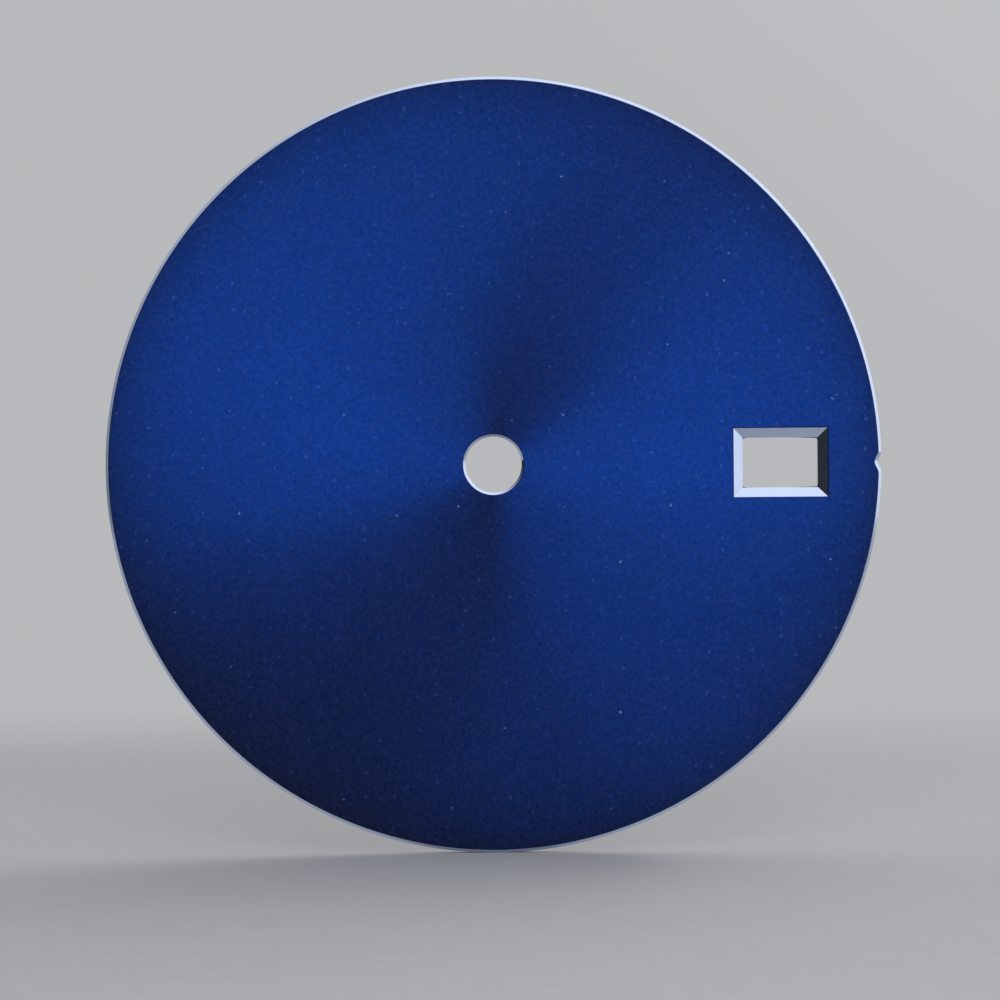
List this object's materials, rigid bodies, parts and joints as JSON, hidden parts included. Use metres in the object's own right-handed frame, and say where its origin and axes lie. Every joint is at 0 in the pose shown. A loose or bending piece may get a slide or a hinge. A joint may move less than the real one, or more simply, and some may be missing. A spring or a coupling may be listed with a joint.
{
  "type": "watch dial",
  "caption": "Bare round watch dial: radially brushed blue lacquered face, central hand hole, bevelled date window on the 3 o'clock side, shallow rim notch, and foot pins on the flat back.",
  "frame": {"origin": "centre of the hand hole, in the plane of the flat back that seats on the movement", "axes": "+Y out of the back, along the feet; the face looks towards -Y; +Z towards 12 o'clock; +X towards 3 o'clock, where the date window and the rim notch are"},
  "size_m": [0.0285, 0.0018, 0.0284],
  "materials": {
    "silvered_brass": "silver-plated brass, bright cut on the rim and window facets, fine turned grain on the back",
    "blue_lacquer": "translucent blue lacquer over radial sunburst brushing, satin",
    "copper": "drawn copper wire, lightly dulled",
    "silver_solder": "silver solder as flowed, dull satin"
  },
  "bodies": {
    "root": {"dial_plate": "silvered_brass", "blue_lacquer": "blue_lacquer", "foot_upper": "copper", "foot_lower": "copper", "foot_solder_upper": "silver_solder", "foot_solder_lower": "silver_solder"}
  },
  "joints": []
}
